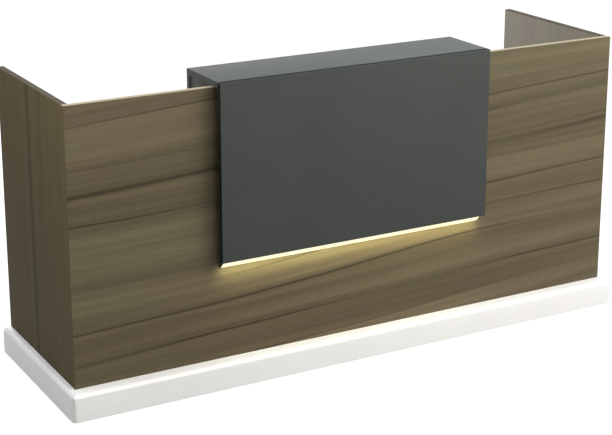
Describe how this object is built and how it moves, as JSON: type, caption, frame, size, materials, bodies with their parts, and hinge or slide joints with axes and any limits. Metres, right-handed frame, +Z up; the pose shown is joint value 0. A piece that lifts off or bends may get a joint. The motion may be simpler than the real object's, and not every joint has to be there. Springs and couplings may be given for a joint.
{
  "type": "reception desk",
  "caption": "Straight reception desk with mitred wood-grain panels on a white plinth, a raised counter with a light line, drawers and a cupboard behind.",
  "frame": {"origin": "on the floor, under the middle of the desk's box", "axes": "+X along the desk, -Y towards the visitors, +Y towards the staff, +Z up"},
  "size_m": [2.26, 0.695, 1.0876],
  "materials": {
    "walnut_laminate": "satin printed wood grain",
    "slate_laminate": "matt laminate",
    "white_laminate": "satin laminate",
    "grey_melamine": "fine pearl melamine",
    "aluminium": "satin anodised",
    "zinc_steel": "zinc plated",
    "satin_nickel": "brushed nickel plate",
    "opal_diffuser": "opal, lit",
    "circuit_tape": "flexible printed circuit",
    "black_plastic": "fine moulded grain"
  },
  "bodies": {
    "desk": {"panel_front": "walnut_laminate", "panel_left": "walnut_laminate", "panel_right": "walnut_laminate", "plinth_front": "white_laminate", "plinth_left": "white_laminate", "plinth_right": "white_laminate", "counter_top": "slate_laminate", "counter_fascia": "slate_laminate", "counter_apron": "slate_laminate", "counter_gable_left": "slate_laminate", "counter_gable_right": "slate_laminate", "fascia_rail": "slate_laminate", "light_channel": "aluminium", "light_cap_left": "black_plastic", "light_cap_right": "black_plastic", "light_strip": "circuit_tape", "light_diffuser": "opal_diffuser", "light_driver": "black_plastic", "worktop": "walnut_laminate", "cable_ring_left": "black_plastic", "cable_ring_right": "black_plastic", "drawer_gable": "walnut_laminate", "drawer_foot_strip": "black_plastic", "drawer_floor": "walnut_laminate", "drawer_kick": "white_laminate", "drawer_back": "walnut_laminate", "cabinet_runner_top_left": "zinc_steel", "cabinet_runner_top_right": "zinc_steel", "cabinet_runner_middle_left": "zinc_steel", "cabinet_runner_middle_right": "zinc_steel", "cabinet_runner_bottom_left": "zinc_steel", "cabinet_runner_bottom_right": "zinc_steel", "cupboard_gable": "walnut_laminate", "cupboard_foot_strip": "black_plastic", "cupboard_floor": "walnut_laminate", "cupboard_kick": "white_laminate", "cupboard_back": "walnut_laminate", "cupboard_shelf": "walnut_laminate", "door_pivot_bottom": "zinc_steel", "door_pivot_top": "zinc_steel", "door_catch": "black_plastic"},
    "top_drawer": {"drawer_top_front": "slate_laminate", "drawer_top_box": "grey_melamine", "drawer_top_handle": "satin_nickel", "drawer_top_runner_left": "zinc_steel", "drawer_top_runner_right": "zinc_steel"},
    "middle_drawer": {"drawer_middle_front": "slate_laminate", "drawer_middle_box": "grey_melamine", "drawer_middle_handle": "satin_nickel", "drawer_middle_runner_left": "zinc_steel", "drawer_middle_runner_right": "zinc_steel"},
    "bottom_drawer": {"drawer_bottom_front": "slate_laminate", "drawer_bottom_box": "grey_melamine", "drawer_bottom_handle": "satin_nickel", "drawer_bottom_runner_left": "zinc_steel", "drawer_bottom_runner_right": "zinc_steel"},
    "door": {"cupboard_door": "slate_laminate", "door_handle": "satin_nickel"},
    "left_cable_cap": {"cable_cap_left": "black_plastic"},
    "right_cable_cap": {"cable_cap_right": "black_plastic"}
  },
  "joints": [
    {"name": "top_drawer_slide", "type": "slide", "parent": "desk", "child": "top_drawer", "axis": [0, 1, 0], "range_m": [0, 0.33]},
    {"name": "middle_drawer_slide", "type": "slide", "parent": "desk", "child": "middle_drawer", "axis": [0, 1, 0], "range_m": [0, 0.33]},
    {"name": "bottom_drawer_slide", "type": "slide", "parent": "desk", "child": "bottom_drawer", "axis": [0, 1, 0], "range_m": [0, 0.33]},
    {"name": "door_hinge", "type": "hinge", "parent": "desk", "child": "door", "pos_m": [-1.06, 0.2905, 0.4], "axis": [0, 0, 1], "range_deg": [0, 95]},
    {"name": "left_cable_cap_turn", "type": "hinge", "parent": "desk", "child": "left_cable_cap", "pos_m": [-0.466, -0.1575, 0.75], "axis": [0, 0, 1], "continuous": true},
    {"name": "right_cable_cap_turn", "type": "hinge", "parent": "desk", "child": "right_cable_cap", "pos_m": [0.404, -0.1575, 0.75], "axis": [0, 0, 1], "continuous": true}
  ]
}
